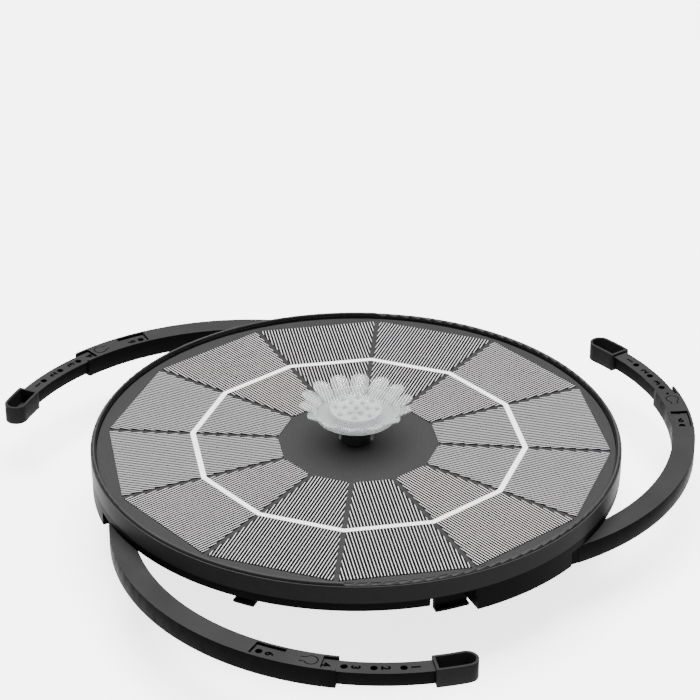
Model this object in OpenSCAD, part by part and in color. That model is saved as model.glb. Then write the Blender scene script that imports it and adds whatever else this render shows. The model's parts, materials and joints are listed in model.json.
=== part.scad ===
// Floating solar fountain pump: a round float with a twelve-cell solar panel on top, a lotus
// diffuser over the outlet, a pump well under the middle and three curved telescopic spacer
// arms that swing out from under the rim.
// Origin: centre of the base ring that the well stands on. +Z is up, +X lies on a cell gap.

/* [Float] */
// Diameter of the float over its rim
float_d = 200; // [180:1:260]
// Height of the rim's lower edge above the base
rim_clear = 30; // [29:1:45]
// Height of the rim wall, from its lower edge to the lip
rim_h = 11.2; // [10.4:0.1:14]
// Height of the hull's share of the rim wall, below the seam
seam_h = 3.2; // [3.1:0.1:3.8]
// Thickness of the rim wall
rim_wall = 2; // [2:0.1:2.2]
// Thickness of the raised lip round the panel
lip_t = 1.5; // [1.2:0.1:1.5]
// Height of the lip above the solar cells
lip_rise = 1.9; // [1.7:0.1:2.2]
// Thickness of the hull's plates
hull_wall = 1.8; // [1.4:0.1:2.2]
// Depth of the belly below the rim's lower edge
belly_drop = 4; // [3:0.5:5]
// Height of each screw pod below the rim's lower edge
pod_drop = 5.8; // [5:0.1:7]

/* [Solar panel] */
// Number of cells in the ring
cell_count = 12; // [12]
// Plain border between the rim and the corners of the cells
cell_border = 4.9; // [3.5:0.1:9]
// Distance from the axis to the inner corners of the cells
cell_inner = 30.7; // [20:0.1:40]
// Gap between neighbouring cells
cell_gap = 1.9; // [1:0.1:3]
// Distance from the axis to the corners of the collector ribbon
ribbon_r = 63; // [45:0.5:72]
// Distance the ring of cells sits off the float's axis
panel_shift = 0.85; // [0:0.05:1]
// Width of the collector ribbon
ribbon_w = 2; // [1:0.1:4]
// Thickness of a cell
cell_t = 0.3; // [0.2:0.1:0.5]
// Thickness of the panel's backing board
board_t = 1.6; // [1.2:0.1:2]
// Thickness of the clear cover over the cells
cover_t = 0.5; // [0.3:0.1:0.6]

/* [Spacer arms] */
// Width of an arm's sleeve
arm_w = 8.7; // [8:0.1:10.5]
// Height of an arm's sleeve
arm_h = 7.3; // [6.4:0.1:7.8]
// Thickness of the sleeve's walls
sleeve_wall = 0.9; // [0.8:0.05:1.1]
// Clearance between the sleeve and its slider
slider_gap = 0.2; // [0.15:0.05:0.3]
// Angle from the pivot to the sleeve's mouth, seen from the arc's centre
mouth_a = 78; // [74:0.5:80]
// Angle from one detent hole to the next
detent_a = 6.1; // [5.5:0.1:6.3]
// Swing of each arm out from under the rim
arm_open = [22.5, 26, 28]; // [8:0.5:32]
// Widest swing, where the sleeve's heel meets the pod
open_max = 35; // [33:1:38]
// Radius of a pivot pin
pin_r = 2; // [1.6:0.1:2.4]

/* [Outlet and lotus] */
// Radius of the black collar round the outlet
collar_r = 5.35; // [5.2:0.05:7]
// Height of the collar above the panel cover
collar_h = 9.9; // [8:0.1:16]
// Radius of the riser pipe
riser_r = 3.6; // [3.4:0.1:3.8]
// Radius of the water way in the riser pipe
riser_bore = 2.65; // [2.4:0.05:2.8]
// Radius of the lotus bowl's floor
bowl_r = 15.4; // [12.5:0.1:17]
// Radius over the petal tips
petal_r = 20.8; // [19:0.1:26]
// Number of petals
petal_count = 14; // [10:1:16]
// Width of a petal
petal_w = 7.6; // [6:0.1:9]
// Radius of the spray head
head_r = 10; // [9.5:0.1:11]

/* [Pump] */
// Radius of the well that holds the pump
well_r = 44; // [40:1:46]
// Thickness of the well's wall
well_wall = 2; // [1.8:0.1:2.6]
// Radius of the motor's housing
motor_r = 10.2; // [10:0.1:10.6]
// Radius of the impeller
impeller_r = 6.5; // [5.5:0.1:6.8]
// Radius of the ceramic shaft
shaft_r = 1; // [0.8:0.05:1.1]
// Twist that locks the filter cover
twist_a = 20; // [15:1:30]

/* [Electrics] */
// Size of the battery
battery = [52, 34, 6]; // [20:1:56]
// Size of the control board
board = [44, 26, 1.6]; // [1:0.1:46]
// Radius of the power button
button_r = 6; // [5:0.1:6.5]
// Travel of the power button
button_travel = 1.2; // [0.8:0.1:1.3]

/* [Hidden] */
$fn = 96;
eps = 1;                 // overshoot of a cut
fit = 0.05;              // radial clearance of a running fit
gap = 0.3;               // clearance between parts that move past each other
arms = 3;
arm_step = 360 / arms;
pivot_0 = 210;           // azimuth of the first arm's pivot
cell_step = 360 / cell_count;

// Heights
z_rim = rim_clear;
z_seam = z_rim + seam_h;
z_lip = z_rim + rim_h;
z_cell = z_lip - lip_rise;
z_board1 = z_cell - cell_t;
z_board0 = z_board1 - board_t;
ribbon_t = 0.12;
z_cover0 = z_cell + ribbon_t + fit;
z_cover1 = z_cover0 + cover_t;
z_belly = z_rim - belly_drop;
z_floor = z_belly + hull_wall;
z_pod = z_rim - pod_drop;

// Float
rim_r = float_d / 2;
hull_r = rim_r - 0.15;
lip_inset = 0.4;
ledge_drop = 1.1;                 // from the top of the lip to the ledge outside it
groove_w = 0.4;
panel_r = rim_r - lip_inset - lip_t - groove_w;
flange_w = 9;
flange_t = 1.8;
z_flange = z_board0 - flange_t;
tongue_t = 1.35;
tongue_h = 0.6;
tongue_r1 = rim_r - rim_wall - 0.15;
tongue_r0 = tongue_r1 - tongue_t;
z_tongue = z_seam + tongue_h;

// Arms, each drawn folded with its pivot on +X and its arc about the axis of the float
arm_ro = rim_r - 0.4;
arm_ri = arm_ro - arm_w;
arm_rm = (arm_ro + arm_ri) / 2;
z_arm1 = z_rim - gap;
z_arm0 = z_arm1 - arm_h;
belly_r = arm_ri - 0.5;
slot_r0 = arm_ri + sleeve_wall;
slot_r1 = arm_ro - sleeve_wall;
slot_z0 = z_arm0 + sleeve_wall;
slot_z1 = z_arm1 - sleeve_wall;
mm_a = 180 / (PI * arm_rm);       // degrees of arc per millimetre along the arm
root_a = 12;                      // end of the sleeve's solid root
cover_a = mouth_a - 3.2;          // end of the sleeve's top plate
latch_a = cover_a - 2.3;          // centre of the latch finger's disc
latch_r = 2.2;
latch_neck_w = 2.2;
latch_neck_l = 3.9;
latch_slot = 0.35;
latch_t = 0.5;
peg_reach = 1.2;                  // from the disc's centre to the peg under the finger
peg_a = latch_a + peg_reach * mm_a;
window_a0 = latch_a - 12.9;
window_a1 = latch_a - 5.9;
slider_a0 = latch_a - 28;
slider_a1 = latch_a + 25.2;
detent_r = 1.3;
detent_depth = 2;
bumper_l = 15.6;
bumper_wall = 1;
bumper_a1 = slider_a1 + (bumper_l - arm_w / 2) * mm_a;
tenon_l = 1;
retract_a = 3 * detent_a;
heel_gap = 4.4;                   // angle from a pivot back to its pod
heel_l = (arm_rm * sin(heel_gap) - gap - arm_w / 2 * sin(open_max)) / cos(open_max);
pin_head_r = pin_r + 1.3;
pin_head_h = 1.2;
pin_cup_h = pin_head_h + 0.4;
washer_t = gap - 0.04;
pod_a0 = -29.9;
pod_a1 = -heel_gap;
bumper_park_a0 = slider_a1 - retract_a + 0.3;
bumper_park_a1 = arm_step + pod_a0 - 0.5;
notch_h = 2.7;
hooks = [[36.4, 41.5], [82.5, arm_step + pod_a0 + 0.45]];   // first and last angle of each
hook_reach = 1.5;
hook_t = 1;
z_hook = z_arm0 - gap - hook_t;

// Shell screws
boss_r = 2.9;
screw_pos_r = tongue_r0 - 0.25 - boss_r;
screw_r = 1.35;
screw_head_r = 2.7;
screw_head_h = 2;
z_screw_seat = z_pod + 3.5;
screw_a = [for (i = [0, 1]) pod_a0 + (pod_a1 - pod_a0) * (0.25 + 0.5 * i)];

// Outlet and lotus
riser_boss_r = 7.4;
panel_hole_r = 4.6;
seal_h = 2.4;
z_collar = z_cover1 + collar_h;
lotus_t = 1;
z_bowl = z_collar + 0.1;
z_bowl1 = z_bowl + lotus_t;
hub_h = 4;
petal_t = 0.8;
petal_root = bowl_r - 0.8;
petal_tilt = 44;
petal_l = (petal_r - petal_root) / cos(petal_tilt) + petal_t * sin(petal_tilt);
z_head = z_bowl1 + 0.1;
head_h = 2.4;
head_t = 0.7;
spigot_r = riser_bore - fit;
spigot_l = 7;
jet_r = 0.55;
jet_rings = [[1, 0], [6, 4.4], [8, 7.8]];   // count and radius of each ring of jets

// Pump, with its shaft along X
chamber_r = impeller_r + 1.5;
volute_r = chamber_r + 1.3;
outlet_bore = 1.8;
shaft_y = outlet_bore - chamber_r;
pad_h = 1;
shaft_z = z_belly - pad_h - motor_r;
chamber_x0 = -3.9;
chamber_x1 = 3.2;
can_x0 = 4.4;
can_x1 = 16.6;
can_end_x = 17.6;
motor_x1 = 19.6;
rotor_bore = 4.7;
can_r = 5.5;
stator_r = motor_r - 1.1;
gasket_t = 0.3;
front_t = 1.6;
intake_r = 3.2;
stem_r = 2.2;
bush_r = shaft_r + 0.45;
magnet_r = rotor_bore - 0.4;
blades = 6;
poles = 4;

// Filter cover
well_ri = well_r - well_wall;
filter_r = well_ri - 0.35;
z_filter = 0.8;
filter_t = 1.6;
filter_ring_h = 6;
lug_a = 4;
lug_reach = 1;
lug_z0 = 3;
lug_z1 = 5;

// Electrics
battery_pos = [0, 46];
board_pos = [0, -58];
z_board = z_floor + 5.2;
standoff_r = 2.4;
button_pos = board_pos;
button_flange = 1.4;
button_drop = 1.4;
z_button = z_belly - button_drop;
seal_groove = [0.6, 0.8];
gland_pos = [30, shaft_y];
gland_r = 3;
cable_r = 1.2;
lead_r = 0.7;
lead_gap = 0.15;
battery_z = z_floor + 0.2;
pump_route = [[motor_x1 + cable_r, shaft_y, shaft_z], [26, shaft_y, shaft_z], [30, shaft_y, shaft_z + 4],
    [30, shaft_y, z_floor + 3.4], [30, -30, z_floor + 3.4], [14, -41, z_board + 0.8],
    [14, -44.9, z_board + 0.8]];
battery_route = [[-23, 28.9, battery_z + 5], [-23, 20, battery_z + 5], [-30, 0, battery_z + 5],
    [-30, -36, battery_z + 5], [-14, -41, z_board + 0.8], [-14, -44.9, z_board + 0.8]];
panel_route = [[12, -16, z_board0 - lead_r - lead_gap], [12, -28, z_board0 - lead_r - lead_gap],
    [4, -38, z_board + 0.8], [4, -44.9, z_board + 0.8]];

black = [0.10, 0.10, 0.105];
soft_black = [0.07, 0.07, 0.07];
panel_grey = [0.30, 0.30, 0.31];
clear = [0.85, 0.92, 0.95, 0.4];
copper = [0.72, 0.42, 0.2];
steel = [0.7, 0.7, 0.72];
board_green = [0.05, 0.3, 0.15];

// A ring about the axis, between two radii and two heights
module ring(r1, r0, z0, z1) {
    translate([0, 0, z0])
        difference() {
            cylinder(r = r1, h = z1 - z0);
            translate([0, 0, -eps]) cylinder(r = r0, h = z1 - z0 + 2 * eps);
        }
}

// A stretch of ring between two angles
module arc_block(r0, r1, z0, z1, a0, a1) {
    rotate([0, 0, a0])
        rotate_extrude(angle = a1 - a0)
            translate([r0, z0]) square([r1 - r0, z1 - z0]);
}

// A square in the half plane that rotate_extrude turns
module slab(r0, r1, z0, z1) {
    translate([r0, z0]) square([r1 - r0, z1 - z0]);
}

// A cylinder between two heights
module post(r, z0, z1) {
    translate([0, 0, z0]) cylinder(r = r, h = z1 - z0);
}

// Copies its children to every pivot, with the pivot's direction on +X
module at_pivots() {
    for (k = [0 : arms - 1]) rotate([0, 0, pivot_0 + k * arm_step]) children();
}

// Takes a folded arm to arm k's place and swings it out
module place_arm(k) {
    rotate([0, 0, pivot_0 + k * arm_step])
        translate([arm_rm, 0, 0])
            rotate([0, 0, -arm_open[k]])
                translate([-arm_rm, 0, 0])
                    children();
}

// A point of the arm's centre line, with x outward and y along the arm
module at_arm(a) {
    rotate([0, 0, a]) translate([arm_rm, 0, 0]) children();
}

// Points no further apart than a step, along a route
function stepped(route, step) = concat(
    [for (i = [0 : len(route) - 2])
        let (n = ceil(norm(route[i + 1] - route[i]) / step))
            for (j = [0 : n - 1]) route[i] + (route[i + 1] - route[i]) * j / n],
    [route[len(route) - 1]]);

function unit(v) = v / norm(v);

// Direction of a route at its point i
function heading(p, i) = unit(p[min(i + 1, len(p) - 1)] - p[max(i - 1, 0)]);

// A wire or cable along a route; no stretch of the route may run along the side vector
module lead(route, r, side = [1, -1, 1]) {
    sides = 8;
    p = stepped(route, 5 * r);
    n = len(p);
    points = [for (i = [0 : n - 1])
        let (t = heading(p, i), u = unit(cross(t, side)), v = cross(t, u))
            for (j = [0 : sides - 1]) p[i] + r * (cos(j * 360 / sides) * u + sin(j * 360 / sides) * v)];
    walls = [for (i = [0 : n - 2], j = [0 : sides - 1])
        let (a = i * sides + j, b = i * sides + (j + 1) % sides)
            [a, a + sides, b + sides, b]];
    ends = [[for (j = [0 : sides - 1]) j], [for (j = [sides - 1 : -1 : 0]) (n - 1) * sides + j]];
    polyhedron(points = points, faces = concat(walls, ends), convexity = 6);
}

// ---------------------------------------------------------------- float

module top_shell() {
    color(black) difference() {
        union() {
            rotate_extrude() {
                slab(rim_r - rim_wall, rim_r, z_seam, z_lip - ledge_drop);
                translate([rim_r - lip_inset, 0]) {
                    slab(-lip_t, 0, z_board1 - eps, z_lip - lip_t / 2);
                    translate([-lip_t / 2, z_lip - lip_t / 2]) circle(r = lip_t / 2);
                }
                slab(rim_r - flange_w, rim_r - rim_wall / 2, z_flange, z_board0);
            }
            at_pivots() for (a = screw_a)
                rotate([0, 0, a]) translate([screw_pos_r, 0, 0]) post(boss_r, z_seam + 0.1, z_flange + eps);
        }
        at_pivots() for (a = screw_a)
            rotate([0, 0, a]) translate([screw_pos_r, 0, 0])
                post(screw_r + fit, z_seam - eps, z_board0 - 0.4);
    }
}

module hull_plates() {
    rotate_extrude() {
        slab(0, belly_r, z_belly, z_floor);
        slab(belly_r - hull_wall, belly_r, z_belly, z_rim + hull_wall);
        slab(belly_r - hull_wall, hull_r, z_rim, z_rim + hull_wall);
        slab(hull_r - rim_wall, hull_r, z_rim, z_seam);
        slab(tongue_r0, tongue_r1, z_rim, z_tongue);
        slab(well_ri, well_r, 0, z_belly + hull_wall / 2);
    }
    post(riser_boss_r, z_belly, z_board0);
}

// Screw pods, pivot bosses, arm hooks and the raised shelf over each parked bumper
module hull_rim_features() {
    arc_block(belly_r - hull_wall / 2, hull_r - 0.05, z_pod, z_rim + hull_wall / 2, pod_a0, pod_a1);
    for (a = screw_a)
        rotate([0, 0, a]) translate([screw_pos_r, 0, 0]) post(boss_r + 1.3, z_pod + hull_wall / 2, z_seam);
    translate([arm_rm, 0, 0]) post(arm_w / 2 - 0.3, z_rim + hull_wall / 2, z_seam - 0.2);
    arc_block(belly_r - hull_wall / 2, tongue_r1 - 0.4, z_rim + hull_wall / 2, z_tongue - 0.1,
        bumper_park_a0 - 1, bumper_park_a1 + 1);
    hook_r0 = belly_r - hull_wall - 0.2;
    for (a = hooks) {
        arc_block(hook_r0, belly_r - 0.2, z_hook + hook_t / 2, z_belly + hull_wall / 2, a[0], a[1]);
        arc_block(hook_r0, belly_r + hook_reach, z_hook, z_hook + hook_t, a[0], a[1]);
    }
}

module hull_rim_cuts() {
    difference() {
        arc_block(belly_r + 0.3, tongue_r0 - 0.2, z_pod + hull_wall, z_rim + hull_wall + eps, pod_a0 + 1.2,
            pod_a1 - 1.2);
        for (a = screw_a)
            rotate([0, 0, a]) translate([screw_pos_r, 0, 0]) post(boss_r + 1.3, z_pod, z_seam + 2 * eps);
    }
    for (a = screw_a)
        rotate([0, 0, a]) translate([screw_pos_r, 0, 0]) {
            post(screw_r + 0.25, z_pod - eps, z_seam + eps);
            post(screw_head_r + 0.3, z_pod - eps, z_screw_seat);
        }
    arc_block(belly_r + 0.6, rim_r + eps, z_rim - eps, z_rim + notch_h, bumper_park_a0, bumper_park_a1);
    translate([arm_rm, 0, 0]) post(pin_r + 0.02, z_rim - eps, z_seam - 0.5);
}

module battery_fence() {
    wall = 1.2;
    outer = [battery.x + 2 * (wall + gap), battery.y + 2 * (wall + gap)];
    inner = [battery.x + 2 * gap, battery.y + 2 * gap];
    translate([battery_pos.x, battery_pos.y, z_floor - eps / 2])
        linear_extrude(3)
            difference() {
                square(outer, center = true);
                square(inner, center = true);
                square([outer.x - 20, outer.y + eps], center = true);
                square([outer.x + eps, outer.y - 16], center = true);
            }
}

module board_standoffs() {
    for (sx = [-1, 1], sy = [-1, 1])
        translate([board_pos.x + sx * (board.x / 2 - standoff_r),
                board_pos.y + sy * (board.y / 2 - standoff_r), 0])
            post(standoff_r, z_belly, z_board);
}

module well_intake_slots() {
    slots = 36;
    for (i = [0 : slots - 1])
        rotate([0, 0, i * 360 / slots])
            translate([well_ri - eps, -0.8, 9]) cube([well_wall + 2 * eps, 1.6, z_belly - 9 - 6]);
}

// Grooves in the well's wall for the filter cover's lugs, each with its way in from below
module bayonet_grooves() {
    for (k = [0 : 2]) rotate([0, 0, k * 120]) {
        arc_block(well_ri - eps, filter_r + lug_reach + 0.35, lug_z0 - 0.35, lug_z1 + 0.35,
            -lug_a - 1, twist_a + lug_a + 1);
        arc_block(well_ri - eps, filter_r + lug_reach + 0.25, -eps, lug_z1,
            twist_a - lug_a - 0.8, twist_a + lug_a + 0.8);
    }
}

module hull() {
    color(black) difference() {
        union() {
            hull_plates();
            at_pivots() hull_rim_features();
            battery_fence();
            board_standoffs();
        }
        at_pivots() hull_rim_cuts();
        post(riser_r + fit, z_belly - eps, z_board0 + eps);
        post(panel_hole_r + 0.4, z_board0 - seal_h - 0.1, z_board0 + eps);
        translate([gland_pos.x, gland_pos.y, 0]) post(gland_r + fit, z_belly - eps, z_floor + eps);
        translate([button_pos.x, button_pos.y, 0]) {
            post(button_r + 0.2, z_belly - eps, z_floor + eps);
            post(button_r + 0.2 + seal_groove.x, z_belly + 0.5, z_belly + 0.5 + seal_groove.y);
        }
        well_intake_slots();
        bayonet_grooves();
    }
}

module shell_seal() {
    color(soft_black) ring(tongue_r1, tongue_r0, z_tongue, z_flange);
}

module shell_screws() {
    color(steel) at_pivots() for (a = screw_a)
        rotate([0, 0, a]) translate([screw_pos_r, 0, 0])
            difference() {
                union() {
                    post(screw_head_r, z_screw_seat - screw_head_h, z_screw_seat);
                    post(screw_r, z_screw_seat - eps, z_board0 - 0.8);
                }
                translate([0, 0, z_screw_seat - screw_head_h])
                    for (turn = [0, 90])
                        rotate([0, 0, turn]) cube([3, 0.7, 2], center = true);
            }
}

// ---------------------------------------------------------------- solar panel

module backing_board() {
    color(panel_grey) ring(panel_r, panel_hole_r, z_board0, z_board1);
}

// Half the width of a cell at a distance from the axis
function cell_half(x) = x * tan(cell_step / 2) - cell_gap / 2 / cos(cell_step / 2);

module solar_cell(k) {
    x0 = cell_inner * cos(cell_step / 2);
    x1 = (rim_r - cell_border) * cos(cell_step / 2);
    corners = [[x0, -cell_half(x0)], [x1, -cell_half(x1)], [x1, cell_half(x1)], [x0, cell_half(x0)]];
    color([0.05, 0.05, 0.06])
        translate([panel_shift, 0, z_board1])
            rotate([0, 0, (k - 0.5) * cell_step])
                linear_extrude(cell_t) polygon(corners);
}

module busbar_ring() {
    half = ribbon_w / 2 / cos(cell_step / 2);
    color([0.92, 0.92, 0.92])
        translate([panel_shift, 0, z_cell])
            linear_extrude(ribbon_t)
                difference() {
                    circle(r = ribbon_r + half, $fn = cell_count);
                    circle(r = ribbon_r - half, $fn = cell_count);
                }
}

module panel_cover() {
    color(clear) ring(panel_r, panel_hole_r, z_cover0, z_cover1);
}

// ---------------------------------------------------------------- outlet and lotus

module outlet_collar() {
    color(soft_black) ring(collar_r, riser_r + fit, z_cover1, z_collar);
}

module riser_pipe() {
    color(black) ring(riser_r, riser_bore, z_belly - 1.2, z_collar);
}

module riser_seals() {
    color(soft_black) {
        ring(panel_hole_r + 0.35, riser_r + 0.02, z_board0 - seal_h, z_board0 - 0.1);
        ring(panel_hole_r - 0.05, riser_r + 0.02, z_board0 + 0.05, z_cover1 - 0.05);
    }
}

module petal() {
    tip = petal_w / 2;
    translate([petal_root, 0, z_bowl])
        rotate([0, -petal_tilt, 0])
            linear_extrude(petal_t) {
                translate([0, -tip * 0.8]) square([petal_l - tip, tip * 1.6]);
                translate([petal_l - tip, 0]) circle(r = tip);
            }
}

module lotus_bowl() {
    color(clear) {
        difference() {
            union() {
                post(bowl_r, z_bowl, z_bowl1);
                post(collar_r + 1, z_collar - hub_h, z_bowl1);
                for (side = [0, 180]) rotate([0, 0, side])
                    arc_block(collar_r + 0.35, collar_r + 1.2, z_cover1 + 0.5, z_bowl1, -14, 14);
            }
            post(collar_r + fit, -eps, z_bowl);
            post(spigot_r + 0.08, z_bowl - eps, z_bowl1 + eps);
        }
        difference() {
            for (k = [0 : petal_count - 1]) rotate([0, 0, (k + 0.5) * 360 / petal_count]) petal();
            post(petal_root + petal_t / 2, z_bowl - eps, z_bowl1 + 3);
        }
    }
}

module spray_head() {
    color(clear) difference() {
        union() {
            post(head_r, z_head, z_head + head_h);
            post(spigot_r, z_head - spigot_l, z_head + head_t);
            for (row = jet_rings) for (i = [1 : row[0]])
                rotate([0, 0, i * 360 / row[0]]) translate([row[1], 0, 0])
                    post(jet_r + 0.6, z_head + head_h - eps, z_head + head_h + 1.1);
        }
        post(head_r - head_t, z_head + head_t, z_head + head_h - head_t);
        post(spigot_r - 0.9, z_head - spigot_l - eps, z_head + head_t + eps / 2);
        for (row = jet_rings) for (i = [1 : row[0]])
            rotate([0, 0, i * 360 / row[0]]) translate([row[1], 0, 0])
                post(jet_r, z_head + head_h - head_t - eps / 2, z_head + head_h + 1.1 + eps);
    }
}

// ---------------------------------------------------------------- pump

// Turns an upright shape about the axis into one about the shaft, with heights along X
module on_shaft() {
    translate([0, shaft_y, shaft_z]) rotate([0, 90, 0]) children();
}

module pump_body() {
    color(black) difference() {
        union() {
            on_shaft() post(volute_r, chamber_x0, can_x0);
            on_shaft() post(motor_r, can_x0 - 0.4, motor_x1);
            translate([6, shaft_y - 4, shaft_z]) cube([12, 8, motor_r + pad_h]);
            post(outlet_bore + 0.75, shaft_z, z_belly + 4);
            translate([-outlet_bore - 0.75, 0, shaft_z])
                mirror([0, 1, 0]) cube([2 * outlet_bore + 1.5, 3, chamber_r]);
        }
        on_shaft() {
            post(chamber_r, chamber_x0 - eps, chamber_x1);
            post(rotor_bore, chamber_x1 - eps, can_x1);
            difference() {
                post(stator_r, can_x0 + 0.8, motor_x1 + eps);
                post(can_r, can_x0, can_end_x);
            }
            post(shaft_r + 0.02, can_x1 - eps, can_x1 + 0.6);
        }
        post(outlet_bore, shaft_z, z_belly + 4 + eps);
    }
}

module pump_gasket() {
    color([0.45, 0.12, 0.1]) on_shaft() ring(volute_r, chamber_r, chamber_x0 - gasket_t, chamber_x0);
}

module pump_front() {
    x1 = chamber_x0 - gasket_t;
    color(black) on_shaft() {
        ring(volute_r, intake_r, x1 - front_t, x1);
        ring(intake_r + 1, intake_r, x1 - front_t - 2, x1);
        difference() {
            union() {
                post(shaft_r + 1, x1 - front_t, x1);
                for (turn = [0, 60, 120])
                    rotate([0, 0, turn])
                        translate([0, 0, x1 - front_t / 2])
                            cube([2 * intake_r + 0.6, 0.8, front_t], center = true);
            }
            post(shaft_r + 0.02, x1 - front_t + 0.6, x1 + eps);
        }
    }
}

module pump_shaft() {
    color([0.93, 0.93, 0.9]) on_shaft() post(shaft_r, chamber_x0 - gasket_t - front_t + 0.65, can_x1 + 0.5);
}

module impeller() {
    color([0.85, 0.85, 0.82]) on_shaft() difference() {
        union() {
            post(stem_r, chamber_x0 + 0.5, can_x1 - 1.4);
            post(impeller_r, chamber_x1 - 1.5, chamber_x1 - 0.5);
            for (i = [1 : blades])
                rotate([0, 0, i * 360 / blades])
                    translate([stem_r - 0.4, -0.4, chamber_x0 + 1])
                        cube([impeller_r - stem_r, 0.8, chamber_x1 - chamber_x0 - 2]);
        }
        post(bush_r + 0.02, chamber_x0 - eps, can_x1);
    }
}

module rotor_magnet() {
    color([0.25, 0.25, 0.27]) on_shaft() ring(magnet_r, stem_r + 0.02, can_x0, can_x1 - 1.6);
}

module rotor_bushes() {
    color([0.8, 0.75, 0.6]) on_shaft() for (x = [chamber_x0 + 0.5, can_x1 - 4.4])
        ring(bush_r, shaft_r + fit, x, x + 3);
}

module stator_core() {
    color(steel) on_shaft() {
        ring(stator_r - 0.1, stator_r - 1.4, can_x0 + 1.6, can_end_x - 2.4);
        for (i = [1 : poles])
            rotate([0, 0, i * 360 / poles])
                translate([can_r + 0.1, -1, can_x0 + 1.6])
                    cube([stator_r - 1.2 - can_r, 2, can_end_x - can_x0 - 4]);
    }
}

module stator_coils() {
    length = can_end_x - can_x0 - 2.8;
    color(copper) on_shaft() for (i = [1 : poles])
        rotate([0, 0, i * 360 / poles])
            translate([can_r + 0.35, 0, can_x0 + 1])
                difference() {
                    translate([0, -1.9, 0]) cube([1.5, 3.8, length]);
                    translate([-eps, -1.05, 0.55]) cube([4, 2.1, length - 1.1]);
                }
}

module pump_board() {
    color(board_green) on_shaft() post(stator_r - 0.1, can_end_x + 0.1, motor_x1 - 0.4);
}

module filter_cover() {
    rows = [[12, 8, 17], [24, 20, 28], [30, 31, 38]];   // slots, inner and outer radius of each row
    color(black) difference() {
        union() {
            post(filter_r, z_filter, z_filter + filter_t);
            ring(filter_r, filter_r - 1.8, z_filter, filter_ring_h);
            for (k = [0 : 2]) rotate([0, 0, k * 120])
                arc_block(filter_r - 1, filter_r + lug_reach, lug_z0, lug_z1, -lug_a, lug_a);
        }
        for (row = rows) for (i = [1 : row[0]])
            rotate([0, 0, i * 360 / row[0]])
                translate([row[1], -1, 0]) cube([row[2] - row[1], 2, 5]);
    }
}

// ---------------------------------------------------------------- electrics

module battery_pack() {
    color([0.2, 0.35, 0.6])
        translate([battery_pos.x - battery.x / 2, battery_pos.y - battery.y / 2, battery_z]) cube(battery);
}

module control_board() {
    color(board_green)
        translate([board_pos.x - board.x / 2, board_pos.y - board.y / 2, z_board]) cube(board);
}

module board_components() {
    top = z_board + board.z;
    room = z_board0 - top - 0.3;
    color([0.12, 0.12, 0.12]) translate([board_pos.x, board_pos.y, top]) {
        translate([-16, -7, 0]) cube([9, 9, min(1.6, room)]);
        translate([2, -8, 0]) cube([6, 5, min(1.4, room)]);
        translate([12, 2, 0]) cube([5, 7, min(1.5, room)]);
        translate([-2, 4, 0]) cylinder(r = 3, h = min(1.8, room));
    }
}

module switch_block() {
    z0 = z_floor + button_flange + button_travel + 0.2;
    color([0.15, 0.15, 0.15])
        translate([button_pos.x - 3, button_pos.y - 3, z0]) cube([6, 6, z_board - z0]);
}

module power_button() {
    color([0.35, 0.35, 0.36]) translate([button_pos.x, button_pos.y, 0]) {
        post(button_r, z_button, z_floor + 0.1 + button_flange / 2);
        post(button_r + 1.2, z_floor + 0.1, z_floor + 0.1 + button_flange / 2);
        post(2, z_floor, z_floor + 0.1 + button_flange);
    }
}

module button_seal() {
    color([0.45, 0.12, 0.1]) translate([button_pos.x, button_pos.y, 0])
        ring(button_r + 0.15 + seal_groove.x, button_r + 0.03, z_belly + 0.55,
            z_belly + 0.45 + seal_groove.y);
}

module pump_cable() {
    color(soft_black) lead(pump_route, cable_r);
}

module battery_leads() {
    color([0.6, 0.05, 0.05]) lead(battery_route, lead_r);
    color(soft_black) translate([0, 0, -2 * lead_r - 0.4]) lead(battery_route, lead_r);
}

module panel_leads() {
    color([0.6, 0.05, 0.05]) lead(panel_route, lead_r);
    color(soft_black) translate([-2 * lead_r - 0.4, 0, 0]) lead(panel_route, lead_r);
}

module cable_gland() {
    color(soft_black) translate([gland_pos.x, gland_pos.y, 0]) {
        ring(gland_r, cable_r + 0.02, z_belly - 0.1, z_floor + 0.1);
        ring(gland_r + 1.2, cable_r + 0.02, z_belly - 1.1, z_belly - 0.05);
        ring(gland_r + 1.2, cable_r + 0.02, z_floor + 0.05, z_floor + 1.1);
    }
}

// ---------------------------------------------------------------- spacer arms

module arm_pins() {
    color(steel) at_pivots() translate([arm_rm, 0, 0]) {
        post(pin_r, z_arm0 + 0.3, z_seam - 0.6);
        post(pin_head_r, z_arm0 + 0.3, z_arm0 + 0.3 + pin_head_h);
    }
}

module arm_washers() {
    color(steel) at_pivots() translate([arm_rm, 0, 0])
        ring(arm_w / 2 - 0.4, pin_r + 0.1, z_arm1 + 0.02, z_arm1 + 0.02 + washer_t);
}

// The outline of the latch finger: a disc on a neck that points back along the arm
module latch_outline(grow) {
    circle(r = latch_r + grow);
    translate([-latch_neck_w / 2 - grow, -latch_neck_l]) square([latch_neck_w + 2 * grow, latch_neck_l]);
}

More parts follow.
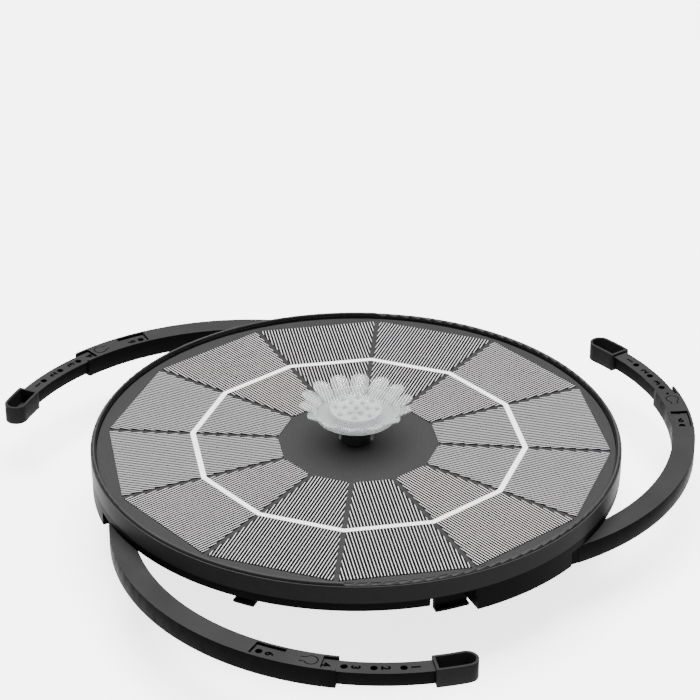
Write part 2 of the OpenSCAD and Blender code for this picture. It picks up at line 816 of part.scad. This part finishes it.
module arm_sleeve(k) {
    color(black) place_arm(k) difference() {
        union() {
            arc_block(arm_ri, arm_ro, z_arm0, z_arm1, 0, mouth_a);
            translate([arm_rm - 1, -heel_l, z_arm0]) cube([arm_w / 2 + 0.8, heel_l + 2, arm_h]);
            translate([arm_rm, 0, 0]) post(arm_w / 2 - 0.2, z_arm0, z_arm1);
        }
        arc_block(slot_r0, slot_r1, slot_z0, slot_z1, root_a, mouth_a + 1);
        for (a = [[window_a0, window_a1], [cover_a, mouth_a + 1.5]])
            arc_block(slot_r0 + 0.1, slot_r1 - 0.1, slot_z1 - eps, z_arm1 + eps, a[0], a[1]);
        at_arm(latch_a) translate([0, 0, slot_z1 - eps]) linear_extrude(sleeve_wall + 2 * eps)
            latch_outline(latch_slot);
        translate([arm_rm, 0, 0]) {
            post(pin_r + fit, z_arm0 - eps, z_arm1 + eps);
            post(pin_head_r + gap, z_arm0 - eps, z_arm0 + pin_cup_h);
        }
    }
}

module arm_slider(k) {
    color(black) place_arm(k) difference() {
        union() {
            arc_block(slot_r0 + slider_gap, slot_r1 - slider_gap, slot_z0 + slider_gap, slot_z1 - slider_gap,
                slider_a0, slider_a1);
            arc_block(arm_rm - 1.8, arm_rm + 1.8, slot_z0 + 1.2, slot_z1 - 1.2, slider_a1 - 0.5,
                slider_a1 + tenon_l * mm_a);
        }
        for (i = [-2 : 3]) at_arm(peg_a + i * detent_a)
            post(detent_r, slot_z1 - slider_gap - detent_depth, slot_z1 + eps);
    }
}

module bumper_outline(inset) {
    arc_end = bumper_a1;
    difference() {
        union() {
            intersection() {
                difference() {
                    circle(r = arm_ro - inset);
                    circle(r = arm_ri + inset);
                }
                rotate(slider_a1) square([arm_ro + eps, arm_ro + eps]);
                rotate(arc_end - 90) square([arm_ro + eps, arm_ro + eps]);
            }
            rotate(arc_end) translate([arm_rm, 0]) circle(r = arm_w / 2 - inset);
        }
        rotate(slider_a1) translate([0, inset - arm_ro]) square([arm_ro + eps, arm_ro]);
    }
}

module arm_bumper(k) {
    floor_t = 1.2;
    color(soft_black) place_arm(k) difference() {
        translate([0, 0, z_arm0]) linear_extrude(arm_h) bumper_outline(0);
        translate([0, 0, z_arm0 + floor_t]) linear_extrude(arm_h) bumper_outline(bumper_wall);
        arc_block(arm_rm - 1.85, arm_rm + 1.85, slot_z0 + 1.15, slot_z1 - 1.15, slider_a1 - 1,
            slider_a1 + 2 * bumper_wall * mm_a);
    }
}

module arm_latch(k) {
    color(black) place_arm(k) at_arm(latch_a) {
        translate([0, 0, z_arm1 - latch_t]) linear_extrude(latch_t)
            difference() {
                latch_outline(0);
                translate([-latch_neck_w, -latch_neck_l - eps]) square([2 * latch_neck_w, eps + fit]);
            }
        translate([0, peg_reach, 0]) post(detent_r - 0.3, slot_z1, z_arm1 - latch_t / 2);
    }
}

// ---------------------------------------------------------------- drawing

top_shell();
hull();
shell_seal();
shell_screws();
backing_board();
busbar_ring();
panel_cover();
for (k = [1 : cell_count]) solar_cell(k);
outlet_collar();
riser_pipe();
riser_seals();
lotus_bowl();
spray_head();
pump_body();
pump_front();
pump_gasket();
pump_shaft();
impeller();
rotor_magnet();
rotor_bushes();
stator_core();
stator_coils();
pump_board();
filter_cover();
battery_pack();
control_board();
board_components();
switch_block();
power_button();
button_seal();
pump_cable();
battery_leads();
panel_leads();
cable_gland();
arm_pins();
arm_washers();
for (k = [1 : arms]) arm_sleeve(k - 1);
for (k = [1 : arms]) arm_slider(k - 1);
for (k = [1 : arms]) arm_bumper(k - 1);
for (k = [1 : arms]) arm_latch(k - 1);
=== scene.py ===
import json
import math

import bmesh
import bpy
from mathutils import Matrix, Vector


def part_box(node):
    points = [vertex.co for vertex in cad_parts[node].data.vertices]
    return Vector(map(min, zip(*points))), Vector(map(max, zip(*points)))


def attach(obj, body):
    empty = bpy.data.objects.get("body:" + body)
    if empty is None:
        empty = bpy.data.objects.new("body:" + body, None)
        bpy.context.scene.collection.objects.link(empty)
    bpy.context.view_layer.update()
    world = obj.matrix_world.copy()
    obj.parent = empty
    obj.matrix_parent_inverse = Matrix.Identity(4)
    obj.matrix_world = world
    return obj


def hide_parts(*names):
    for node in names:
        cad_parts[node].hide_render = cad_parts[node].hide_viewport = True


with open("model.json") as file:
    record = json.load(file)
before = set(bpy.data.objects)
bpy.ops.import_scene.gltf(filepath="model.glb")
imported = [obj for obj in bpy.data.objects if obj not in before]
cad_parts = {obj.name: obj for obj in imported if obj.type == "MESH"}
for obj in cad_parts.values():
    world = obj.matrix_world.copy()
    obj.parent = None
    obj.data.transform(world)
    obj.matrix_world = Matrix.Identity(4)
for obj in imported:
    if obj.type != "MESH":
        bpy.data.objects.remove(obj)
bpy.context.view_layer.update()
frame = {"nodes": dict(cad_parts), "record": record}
mm = 0.001

# ------------------------------------------------------------------ sizes taken from the frame

cell_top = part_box("solar_cell_1")[1].z
rim_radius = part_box("top_shell")[1].x
ribbon_low, ribbon_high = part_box("busbar_ring")
panel_shift = (ribbon_low.x + ribbon_high.x) / 2
arm_count = 3
cell_count = 12
joints = {joint["name"]: joint for joint in frame["record"]["behaviour"]["joints"]}


def pivot_of(arm):
    """The pivot of an arm, as a point."""
    return Vector(joints[f"arm_{arm}_swing"]["pos_m"])


def arc_centre_of(arm):
    """The centre that an arm's sleeve and slider curve about."""
    return Vector(joints[f"arm_{arm}_reach"]["pos_m"])


def arc_point(arm, angle, radius, height):
    """A point of an arm: angle is measured in degrees from the pivot, about the arc's centre."""
    centre = arc_centre_of(arm)
    spoke = pivot_of(arm) - centre
    start = math.atan2(spoke.y, spoke.x)
    turn = start + math.radians(angle)
    return Vector((centre.x + radius * math.cos(turn), centre.y + radius * math.sin(turn), height))


# ------------------------------------------------------------------ camera

camera_data = bpy.data.cameras.new("Camera")
camera = bpy.data.objects.new("Camera", camera_data)
bpy.context.collection.objects.link(camera)
bpy.context.scene.camera = camera
camera_data.lens = 136.3
camera_data.sensor_width = 36
camera_data.clip_end = 20
camera.location = (0.0701, -0.8568, 0.5139 + cell_top)
camera.rotation_euler = (math.radians(90 - 28.92), 0, math.radians(4.83))


# ------------------------------------------------------------------ shader tools

class Signal:
    """One output inside a finish. Arithmetic on it adds Math nodes, so shader maths reads as sums."""

    def __init__(self, finish, socket):
        self.finish = finish
        self.socket = socket

    def maths(self, operation, first, second=0.0):
        return self.finish.add("Math", {"operation": operation}, [first, second])

    def __add__(self, other):
        return self.maths("ADD", self, other)

    def __radd__(self, other):
        return self.maths("ADD", other, self)

    def __sub__(self, other):
        return self.maths("SUBTRACT", self, other)

    def __rsub__(self, other):
        return self.maths("SUBTRACT", other, self)

    def __mul__(self, other):
        return self.maths("MULTIPLY", self, other)

    def __rmul__(self, other):
        return self.maths("MULTIPLY", other, self)

    def between(self, low, high):
        """0 below low, 1 above high, and even between them."""
        return self.finish.add("MapRange", {"clamp": True},
                               {"Value": self, "From Min": low, "From Max": high})


class Finish:
    """A material in the making: add() adds a node, and surface() ends it with one Principled shader."""

    def __init__(self, name):
        self.material = bpy.data.materials.new(name)
        self.material.use_nodes = True
        self.tree = self.material.node_tree
        self.tree.nodes.clear()
        self.place = self.add("TexCoord", output="Object")

    def add(self, kind, settings=None, inputs=None, output=0):
        """Adds one node: settings first, then the values or signals of its sockets."""
        node = self.tree.nodes.new("ShaderNode" + kind)
        for name, value in (settings or {}).items():
            if name == "stops":
                ramp = node.color_ramp
                while len(ramp.elements) < len(value):
                    ramp.elements.new(0.5)
                for element, (position, colour) in zip(ramp.elements, value):
                    element.position = position
                    element.color = (*colour, 1)
            else:
                setattr(node, name, value)
        pairs = inputs.items() if isinstance(inputs, dict) else enumerate(inputs or [])
        for key, value in pairs:
            socket = node.inputs[key]
            if isinstance(value, Signal):
                self.tree.links.new(value.socket, socket)
            else:
                socket.default_value = value
        return Signal(self, node.outputs[output])

    def grain(self, size, detail=3.0, roughness=0.5):
        """Noise from 0 to 1 with features of about this size, in metres."""
        return self.add("TexNoise", None, {"Vector": self.place, "Scale": 1 / size,
                                           "Detail": detail, "Roughness": roughness})

    def blend(self, amount, first, second):
        """A colour between two colours."""
        def colour(value):
            return value if isinstance(value, Signal) else (*value, 1)
        inputs = {0: amount, 6: colour(first), 7: colour(second)}
        return self.add("Mix", {"data_type": "RGBA"}, inputs, output=2)

    def relief(self, height, depth, under=None):
        """A normal from a height signal; depth is in metres."""
        inputs = {"Height": height, "Distance": depth, "Strength": 1.0}
        if under is not None:
            inputs["Normal"] = under
        return self.add("Bump", None, inputs)

    def surface(self, **sockets):
        """Ends the finish. Names with an underscore stand for a socket's words."""
        shader = self.add("BsdfPrincipled", None,
                          {name.replace("_", " "): value for name, value in sockets.items()})

        out = self.tree.nodes.new("ShaderNodeOutputMaterial")
        self.tree.links.new(shader.socket, out.inputs["Surface"])
        return self.material


# ------------------------------------------------------------------ finishes

def moulded(name, colour, shaded_side_colour=None, roughness=0.5, grain_size=0.0004, depth=0.00002):
    """Moulded plastic with a fine matt grain. With a side colour, level faces facing up or down take the
    first colour as painted light, and upright faces take the darker side colour as painted shade; upright
    faces are also less rough.
    """
    finish = Finish(name)
    cloud = finish.grain(0.02, detail=4)
    speckle = finish.grain(grain_size)
    base = finish.blend(cloud.between(0.3, 0.7), colour, [c * 1.25 for c in colour])
    rough = roughness + 0.1 * cloud + 0.06 * speckle - 0.08
    # Painted light and shade: the tilt of the normal makes level faces paler and upright sides darker.
    if shaded_side_colour is not None:
        normal = finish.add("NewGeometry", output="Normal")
        tilt = finish.add("SeparateXYZ", None, [normal], output="Z")
        lit_level_mask = tilt.maths("ABSOLUTE", tilt).between(0.75, 0.97)
        base = finish.blend(lit_level_mask, shaded_side_colour, base)
        rough = rough - 0.16 * (1 - lit_level_mask)
    return finish.surface(Base_Color=base, Roughness=rough,
                          Normal=finish.relief(speckle, depth), Specular_IOR_Level=0.006)


def elastomer(name, colour):
    """Soft rubber with a dull bloom."""
    finish = Finish(name)
    bloom = finish.grain(0.006, detail=5)
    pores = finish.grain(0.0003)
    base = finish.blend(bloom, colour, [c * 1.6 + 0.004 for c in colour])
    return finish.surface(Base_Color=base, Roughness=0.62 + 0.15 * bloom,
                          Normal=finish.relief(pores, 0.00002), Specular_IOR_Level=0.3)


def metal(name, colour, roughness=0.3, stretch=(1, 1, 12)):
    """Turned or brushed metal: long fine scratches and a few dull patches."""
    finish = Finish(name)
    place = finish.add("VectorMath", {"operation": "MULTIPLY"}, [finish.place, stretch])
    scratch = finish.add("TexNoise", None, {"Vector": place, "Scale": 900.0, "Detail": 4.0})
    patch = finish.grain(0.004)
    base = finish.blend(scratch, [c * 0.82 for c in colour], colour)
    return finish.surface(Base_Color=base, Metallic=1.0, Roughness=roughness + 0.12 * scratch + 0.1 * patch,
                          Normal=finish.relief(scratch, 0.000006))


def laminate(name, colour, pale):
    """The panel's printed laminate: very even, with a faint weave of glass cloth under the print."""
    finish = Finish(name)
    warp = finish.add("TexWave", {"bands_direction": "X"}, {"Vector": finish.place, "Scale": 160.0})
    weft = finish.add("TexWave", {"bands_direction": "Y"}, {"Vector": finish.place, "Scale": 160.0})
    cloth = warp * weft
    cloud = finish.grain(0.03, detail=2)
    base = finish.blend(cloud * 0.85 + cloth * 0.15, colour, pale)
    return finish.surface(Base_Color=base, Roughness=0.55 + 0.04 * cloth, Specular_IOR_Level=0.12)


def silicon(name):
    """Monocrystalline silicon: nearly black with a blue cast that drifts from cell to cell."""
    finish = Finish(name)
    drift = finish.grain(0.05, detail=1)
    crystal = finish.add("TexVoronoi", {"feature": "F1"}, {"Vector": finish.place, "Scale": 260.0})
    base = finish.blend(drift, (0.0012, 0.0012, 0.0013), (0.0026, 0.0026, 0.003))
    return finish.surface(Base_Color=base, Roughness=0.3 + 0.1 * crystal + 0.08 * drift,
                          Specular_IOR_Level=0.08)


def printed_silver(name, colour, roughness=0.42):
    """Silver paste or tinned ribbon: pale, a little grainy, hardly shiny."""
    finish = Finish(name)
    paste = finish.grain(0.0005)
    wear = finish.grain(0.008)
    base = finish.blend(paste * 0.6 + wear * 0.4, [c * 0.86 for c in colour], colour)
    return finish.surface(Base_Color=base, Roughness=roughness + 0.14 * paste, Metallic=0.0,
                          Normal=finish.relief(paste, 0.000008))


def clear_moulding(name, tint=(0.62, 0.63, 0.64), roughness=0.08):
    """Thin clear polycarbonate: see-through, with flow lines, light water marks and a bright gloss."""
    finish = Finish(name)
    flow = finish.grain(0.009, detail=3)
    marks = finish.grain(0.0015, detail=2)
    return finish.surface(Base_Color=finish.blend(flow, tint, [c * 0.9 for c in tint]),
                          Roughness=roughness + 0.1 * marks.between(0.5, 0.8),
                          Alpha=0.1 + 0.26 * flow, IOR=1.55, Normal=finish.relief(flow, 0.00005))


def clear_film(name):
    """The cast resin over the cells: all but invisible."""
    finish = Finish(name)
    ripple = finish.grain(0.012, detail=2)
    return finish.surface(Base_Color=(0.02, 0.02, 0.021, 1), Roughness=0.45 + 0.1 * ripple,
                          Alpha=0.012 + 0.008 * ripple, Specular_IOR_Level=0.03)


def enamel(name, colour, roughness=0.35):
    """A smooth coloured coat, such as solder mask, heat-shrink or enamelled wire."""
    finish = Finish(name)
    cloud = finish.grain(0.004, detail=3)
    base = finish.blend(cloud, [c * 0.75 for c in colour], colour)
    return finish.surface(Base_Color=base, Roughness=roughness + 0.12 * cloud,
                          Coat_Weight=0.3 + 0.2 * cloud)


# Painted light and shade: in these four finishes the first colour is the level faces' painted light and the
# second colour is the upright sides' painted shade.
black_rim = moulded("black_rim", (0.034, 0.034, 0.0343), (0.0095, 0.0095, 0.0097), roughness=0.5)
black_hull = moulded("black_hull", (0.004, 0.004, 0.0041), (0.0018, 0.0018, 0.0019),
                     roughness=0.58, depth=0.00003)
arm_plastic = moulded("arm_plastic", (0.022, 0.022, 0.0223), (0.0022, 0.0022, 0.0023), roughness=0.62)
bumper_rubber = moulded("bumper_rubber", (0.02, 0.02, 0.0202), (0.0085, 0.0085, 0.0087),
                        roughness=0.62, depth=0.00004)
panel_laminate = laminate("panel_laminate", (0.021, 0.021, 0.0212), (0.0235, 0.0235, 0.0237))
dark_silicon = silicon("dark_silicon")
finger_paste = printed_silver("finger_paste", (0.7, 0.7, 0.71))
ribbon_tin = printed_silver("ribbon_tin", (1.0, 1.0, 1.0), 0.36)
resin_film = clear_film("resin_film")
clear_plastic = clear_moulding("clear_plastic")
soft_black = elastomer("soft_black", (0.008, 0.008, 0.008))
red_seal = elastomer("red_seal", (0.22, 0.03, 0.02))
grey_button = elastomer("grey_button", (0.14, 0.14, 0.15))
wire_sheath = enamel("wire_sheath", (0.35, 0.02, 0.02), 0.4)
stainless = metal("stainless", (0.62, 0.61, 0.6))
copper_wire = metal("copper_wire", (0.78, 0.36, 0.18), 0.25, (12, 1, 1))
ferrite = moulded("ferrite", (0.05, 0.05, 0.055), roughness=0.4)
ceramic = enamel("ceramic", (0.85, 0.84, 0.8), 0.2)
natural_polymer = moulded("natural_polymer", (0.66, 0.65, 0.6), roughness=0.45)
green_mask = enamel("green_mask", (0.01, 0.14, 0.05))
battery_wrap = enamel("battery_wrap", (0.05, 0.11, 0.3))
chip_epoxy = moulded("chip_epoxy", (0.02, 0.02, 0.02), roughness=0.55)
# Numerals coloured near black, darker than the slider's top.
dark_numeral = moulded("dark_numeral", (0.0004, 0.0004, 0.0004), roughness=0.7)

finish_of = {
    "top_shell": black_rim, "hull": black_hull, "shell_seal": red_seal, "shell_screws": stainless,
    "backing_board": panel_laminate, "busbar_ring": ribbon_tin, "panel_cover": resin_film,
    "outlet_collar": soft_black, "riser_pipe": black_hull, "riser_seals": soft_black,
    "lotus_bowl": clear_plastic, "spray_head": clear_plastic,
    "pump_body": black_hull, "pump_front": black_hull, "pump_gasket": red_seal, "pump_shaft": ceramic,
    "impeller": natural_polymer, "rotor_magnet": ferrite, "rotor_bushes": ceramic,
    "stator_core": stainless, "stator_coils": copper_wire, "pump_board": green_mask,
    "filter_cover": black_hull, "battery_pack": battery_wrap, "control_board": green_mask,
    "board_components": chip_epoxy, "switch_block": chip_epoxy, "power_button": grey_button,
    "button_seal": red_seal, "pump_cable": soft_black, "battery_leads": wire_sheath,
    "panel_leads": wire_sheath, "cable_gland": soft_black, "arm_pins": stainless, "arm_washers": stainless,
}
for cell in range(1, cell_count + 1):
    finish_of[f"solar_cell_{cell}"] = dark_silicon
for arm in range(1, arm_count + 1):
    finish_of[f"arm_sleeve_{arm}"] = arm_plastic
    finish_of[f"arm_slider_{arm}"] = arm_plastic
    finish_of[f"arm_latch_{arm}"] = arm_plastic
    finish_of[f"arm_bumper_{arm}"] = bumper_rubber

for node, piece in frame["nodes"].items():
    piece.data.materials.clear()
    piece.data.materials.append(finish_of[node])


def ease_edges(node, width, angle=35):
    """Small radii on a moulding's sharp edges."""
    piece = frame["nodes"][node]
    weld = piece.modifiers.new("weld", "WELD")
    weld.merge_threshold = 0.000004
    bevel = piece.modifiers.new("edges", "BEVEL")
    bevel.width = width
    bevel.segments = 2
    bevel.limit_method = "ANGLE"
    bevel.angle_limit = math.radians(angle)
    bevel.harden_normals = True


# ------------------------------------------------------------------ pieces

def piece_from(name, shape, finish, body, smooth=False):
    """Puts a bmesh into the scene as a piece that rides on a body."""
    mesh = bpy.data.meshes.new(name)
    bmesh.ops.recalc_face_normals(shape, faces=shape.faces)
    shape.to_mesh(mesh)
    shape.free()
    mesh.materials.append(finish)
    for polygon in mesh.polygons:
        polygon.use_smooth = smooth
    piece = bpy.data.objects.new(name, mesh)
    bpy.context.collection.objects.link(piece)
    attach(piece, body)
    return piece


def prism(shape, outline, low, high):
    """A closed upright prism over an outline of (x, y) points."""
    bottom = [shape.verts.new((x, y, low)) for x, y in outline]
    top = [shape.verts.new((x, y, high)) for x, y in outline]
    shape.faces.new(bottom[::-1])
    shape.faces.new(top)
    for here in range(len(outline)):
        after = (here + 1) % len(outline)
        shape.faces.new((bottom[here], bottom[after], top[after], top[here]))


def lathe(shape, profile, turns=96):
    """A closed body of revolution about +Z from a closed profile of (radius, height) points."""
    rings = []
    for step in range(turns):
        turn = 2 * math.pi * step / turns
        rings.append([shape.verts.new((r * math.cos(turn), r * math.sin(turn), z)) for r, z in profile])
    for step in range(turns):
        here, after = rings[step], rings[(step + 1) % turns]
        for i in range(len(profile)):
            j = (i + 1) % len(profile)
            shape.faces.new((here[i], after[i], after[j], here[j]))


# Finger lines, printed along the middle of each cell's sector and cut off at the cell's slanted sides
cell_step = 2 * math.pi / cell_count
cell_gap = 1.9 * mm
cell_inner = 30.7 * mm
cell_border = 4.9 * mm
finger_pitch = 1.2 * mm
finger_width = 0.23 * mm
finger_height = 0.06 * mm
shortest_finger = 0.5 * mm
most_fingers = 20
inner_edge = cell_inner * math.cos(cell_step / 2)
outer_edge = (rim_radius - cell_border) * math.cos(cell_step / 2)


def slanted_side(offset):
    """How far from the axis a line at this offset from the sector's middle enters the cell."""
    return (abs(offset) + cell_gap / 2 / math.cos(cell_step / 2)) / math.tan(cell_step / 2)


for cell in range(1, cell_count + 1):
    lines = bmesh.new()
    for count in range(-most_fingers, most_fingers + 1):
        low = count * finger_pitch - finger_width / 2
        high = low + finger_width
        start_low = max(slanted_side(low), inner_edge)
        start_high = max(slanted_side(high), inner_edge)
        if max(start_low, start_high) > outer_edge - shortest_finger:
            continue
        prism(lines, [(start_low, low), (outer_edge, low), (outer_edge, high), (start_high, high)],
              cell_top, cell_top + finger_height)
    place = Matrix.Translation((panel_shift, 0, 0)) @ Matrix.Rotation((cell - 0.5) * cell_step, 4, "Z")
    bmesh.ops.transform(lines, matrix=place, verts=lines.verts)
    piece_from(f"finger_lines_{cell}", lines, finger_paste, "float")

# Lotus: a shallow bowl on a hub that clips over the collar, and a ring of cupped petals
lotus_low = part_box("lotus_bowl")[0].z
bowl_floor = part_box("outlet_collar")[1].z + 0.1 * mm
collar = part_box("outlet_collar")[1].x
hub_low = bowl_floor - 4 * mm
bowl_radius = 15.4 * mm
spigot_hole = 2.68 * mm
petal_count = 14
petal_root = bowl_radius - 0.4 * mm
petal_length = 8.4 * mm
petal_half = 3.65 * mm
petal_thickness = 0.75 * mm
petal_tip = 0.35 * mm
tip_start = 0.55


def bowl():
    """The bowl's section, turned: up the hub's outside, along the underside, over the rim and back."""
    hub = [(collar + 0.05 * mm, hub_low), (collar + 0.9 * mm, hub_low),
           (collar + 1.05 * mm, hub_low + 0.3 * mm), (collar + 1.05 * mm, bowl_floor - 0.6 * mm),
           (collar + 1.7 * mm, bowl_floor - 0.05 * mm)]
    outside = [(-1.4, -0.05), (-0.5, 0.1), (0, 0.55), (-0.1, 1.0), (0.7, 2.2), (1.3, 3.5)]
    inside = [(0.9, 3.8), (0.2, 2.5), (-0.9, 1.3), (-1.8, 0.98)]
    side = [(bowl_radius + out * mm, bowl_floor + up * mm) for out, up in outside + inside]
    hole = [(spigot_hole, bowl_floor + 0.98 * mm), (spigot_hole, bowl_floor + 0.1 * mm),
            (collar + 0.05 * mm, bowl_floor + 0.02 * mm)]
    shape = bmesh.new()
    lathe(shape, hub + side + hole)
    return piece_from("lotus", shape, clear_plastic, "lotus", smooth=True)


def petal_half_width(run):
    """Half a petal's width at a share of its length: it widens, then rounds off to its tip."""
    widening = 0.72 + 0.28 * math.sin(min(1, run / tip_start) * math.pi / 2)
    tip = max(0.0, (run - tip_start) / (1 - tip_start))
    rounding = math.sqrt(max(0.0, 1 - tip ** 2.2))
    return max(petal_half * widening * rounding, petal_tip)


def petal(turn):
    """One cupped petal as a grid of points, its two faces and its rim closed."""
    shape = bmesh.new()
    across, along = 8, 10
    sheets = []
    for side in (0, 1):
        rows = []
        for v in range(along + 1):
            run = v / along
            tilt = math.radians(50 - 14 * run)
            reach = petal_length * min(run, 0.995)
            row = []
            for u in range(across + 1):
                sway = u / across * 2 - 1
                cup = 1.1 * mm * sway * sway * math.sin(math.pi * (0.25 + 0.6 * run))
                lift = cup + side * petal_thickness
                x = petal_root + reach * math.cos(tilt) - lift * math.sin(tilt)
                z = bowl_floor + 0.9 * mm + reach * math.sin(tilt) + lift * math.cos(tilt)
                row.append(shape.verts.new((x, sway * petal_half_width(run), z)))
            rows.append(row)
        sheets.append(rows)
    for rows in sheets:
        for v in range(along):
            for u in range(across):
                shape.faces.new((rows[v][u], rows[v][u + 1], rows[v + 1][u + 1], rows[v + 1][u]))
    lower, upper = sheets
    edge = [(0, u) for u in range(across)] + [(v, across) for v in range(along)]
    edge += [(along, u) for u in range(across, 0, -1)] + [(v, 0) for v in range(along, 0, -1)]
    for here, after in zip(edge, edge[1:] + edge[:1]):
        shape.faces.new((lower[here[0]][here[1]], lower[after[0]][after[1]],
                         upper[after[0]][after[1]], upper[here[0]][here[1]]))
    bmesh.ops.rotate(shape, verts=shape.verts, cent=(0, 0, 0), matrix=Matrix.Rotation(turn, 3, "Z"))
    return shape


lotus = bowl()
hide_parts("lotus_bowl")
for count in range(petal_count):
    shape = petal(2 * math.pi * (count + 0.5) / petal_count)
    leaf = piece_from(f"lotus_petal_{count + 1}", shape, clear_plastic, "lotus",
                      smooth=True)
    smoothing = leaf.modifiers.new("smooth", "SUBSURF")
    smoothing.levels = smoothing.render_levels = 1

# Clip legs that hold the lotus to the collar
leg_half_angle = math.radians(14)
leg_inner = collar + 0.35 * mm
leg_outer = collar + 1.15 * mm
for side in (0, 1):
    leg = bmesh.new()
    arc = [leg_half_angle * (i / 5 - 1) for i in range(11)]
    outline = [(leg_outer * math.cos(a), leg_outer * math.sin(a)) for a in arc]
    outline += [(leg_inner * math.cos(a), leg_inner * math.sin(a)) for a in arc[::-1]]
    prism(leg, outline, lotus_low, hub_low + 0.3 * mm)
    bmesh.ops.rotate(leg, verts=leg.verts, cent=(0, 0, 0), matrix=Matrix.Rotation(side * math.pi, 3, "Z"))
    piece_from(f"lotus_leg_{side + 1}", leg, clear_plastic, "lotus")

# Numerals beside the detent holes, read with their tops towards the bumper
detent_4_angle = 73.2
detent_angle = 6.1
numeral_angle = 2.35
numeral_size = 4.3 * mm
slider_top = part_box("arm_slider_1")[1].z
arm_radius = (pivot_of(1) - arc_centre_of(1)).length


def numeral(arm, number):
    """A raised numeral on the slider's top, just past its own hole."""
    text = bpy.data.curves.new(f"numeral_{number}", "FONT")
    text.body = str(number)
    text.size = numeral_size
    text.extrude = 0.05 * mm
    text.offset = 0.16 * mm
    text.align_x = "CENTER"
    text.align_y = "CENTER"
    holder = bpy.data.objects.new("numeral", text)
    bpy.context.collection.objects.link(holder)
    mesh = bpy.data.meshes.new_from_object(holder.evaluated_get(bpy.context.evaluated_depsgraph_get()))
    bpy.data.objects.remove(holder)
    angle = detent_4_angle + (4 - number) * detent_angle + numeral_angle
    spot = arc_point(arm, angle, arm_radius, slider_top + 0.02 * mm)
    outward = spot - arc_centre_of(arm)
    turn = math.atan2(outward.y, outward.x)
    mesh.transform(Matrix.Translation(spot) @ Matrix.Rotation(turn, 4, "Z"))
    mesh.materials.clear()
    mesh.materials.append(dark_numeral)
    piece = bpy.data.objects.new(f"arm_{arm}_numeral_{number}", mesh)
    bpy.context.collection.objects.link(piece)
    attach(piece, f"arm_{arm}_slider")


for arm in range(1, arm_count + 1):
    for number in range(1, 7):
        numeral(arm, number)

for arm in range(1, arm_count + 1):
    ease_edges(f"arm_sleeve_{arm}", 0.3 * mm)
    ease_edges(f"arm_slider_{arm}", 0.15 * mm)
    ease_edges(f"arm_bumper_{arm}", 0.35 * mm)
    ease_edges(f"arm_latch_{arm}", 0.08 * mm)

# ------------------------------------------------------------------ stage

floor_mesh = bmesh.new()
bmesh.ops.create_grid(floor_mesh, x_segments=1, y_segments=1, size=4)
floor_data = bpy.data.meshes.new("floor")
floor_mesh.to_mesh(floor_data)
floor_mesh.free()
floor = bpy.data.objects.new("floor", floor_data)
bpy.context.collection.objects.link(floor)
pale = Finish("pale_floor")
floor_finish = pale.surface(Base_Color=(0.86, 0.86, 0.86, 1), Roughness=0.9 + 0.05 * pale.grain(0.5),
                            Specular_IOR_Level=0.1, Emission_Color=(1, 1, 1, 1), Emission_Strength=3.0)
floor_data.materials.append(floor_finish)

world = bpy.data.worlds.new("studio")
bpy.context.scene.world = world
world.use_nodes = True
world.node_tree.nodes["Background"].inputs["Color"].default_value = (1, 1, 1, 1)
world.node_tree.nodes["Background"].inputs["Strength"].default_value = 0.3


def softbox(name, place, target, size, power):
    data = bpy.data.lights.new(name, "AREA")
    data.shape = "DISK"
    data.size = size
    data.energy = power
    light = bpy.data.objects.new(name, data)
    bpy.context.collection.objects.link(light)
    light.location = place
    light.rotation_euler = (Vector(target) - Vector(place)).to_track_quat("-Z", "Y").to_euler()


softbox("overhead", (0, 0.1, 1.6), (0, 0, 0), 1.5, 105)
softbox("front_left", (-0.9, -1.1, 1.3), (0, 0, 0.03), 0.6, 5)
softbox("back_right", (1.1, 1.2, 0.9), (0, 0, 0.03), 0.6, 3)
